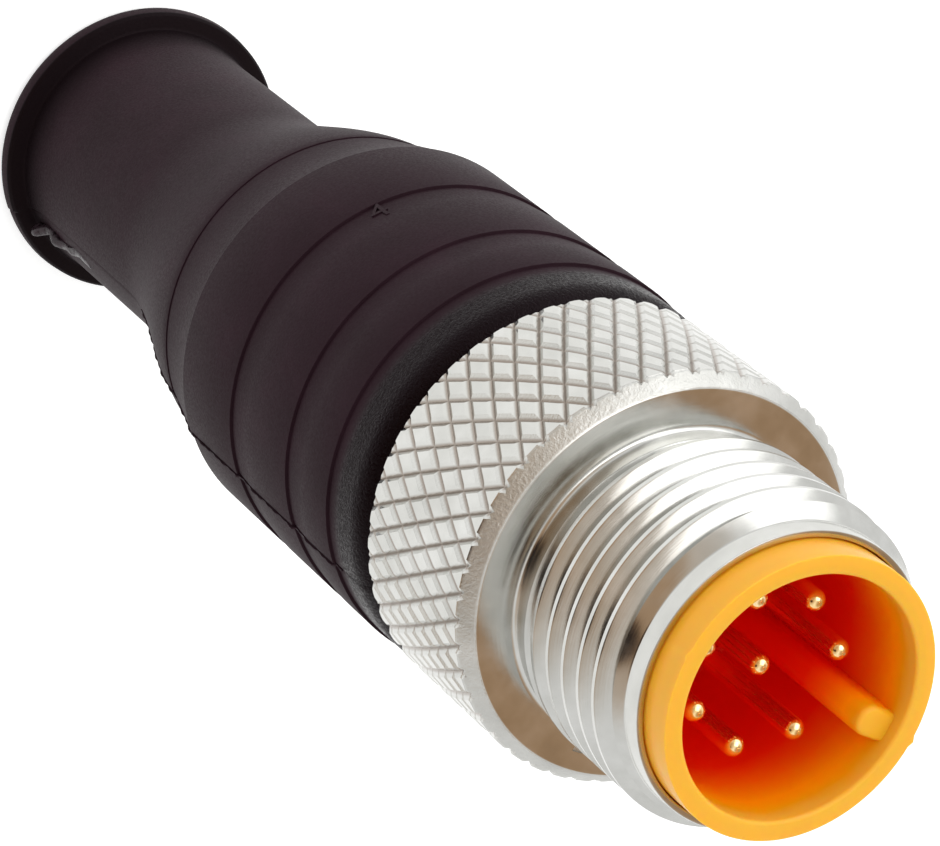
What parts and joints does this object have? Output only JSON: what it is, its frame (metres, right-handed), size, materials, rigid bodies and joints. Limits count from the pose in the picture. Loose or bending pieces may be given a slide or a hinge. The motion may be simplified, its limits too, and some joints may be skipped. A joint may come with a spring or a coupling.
{
  "type": "m12 connector",
  "caption": "Male circular plug with gold pins in an orange keyed sleeve, a knurled plated coupling screw and a black moulded grip, closed at the rear.",
  "frame": {"origin": "middle of the flat rear face of the grip, on the plug's axis", "axes": "+Z along the plug's axis towards the mating face, +Y towards the key"},
  "size_m": [0.0154, 0.0154, 0.0516],
  "materials": {
    "grip_black": "matt, fine moulded grain",
    "plated_screw": "nickel plated, bright turned",
    "carrier_orange": "glossy, slightly see-through",
    "gold_contact": "gold plated, polished",
    "inner_plastic": "moulded",
    "tinned_wire": "tinned"
  },
  "bodies": {
    "plug": {"grip_body": "grip_black", "contact_carrier": "carrier_orange", "contact_pin_1": "gold_contact", "contact_pin_2": "gold_contact", "contact_pin_3": "gold_contact", "contact_pin_4": "gold_contact", "contact_pin_5": "gold_contact", "contact_pin_6": "gold_contact", "contact_pin_7": "gold_contact", "contact_pin_8": "gold_contact", "inner_mould": "inner_plastic", "bridge_wire_1": "tinned_wire", "bridge_wire_2": "tinned_wire", "bridge_wire_3": "tinned_wire", "bridge_wire_4": "tinned_wire"},
    "screw": {"coupling_screw": "plated_screw"}
  },
  "joints": [
    {"name": "coupling_spin", "type": "hinge", "parent": "plug", "child": "screw", "pos_m": [0, 0, 0.0394], "axis": [0, 0, 1], "continuous": true}
  ]
}
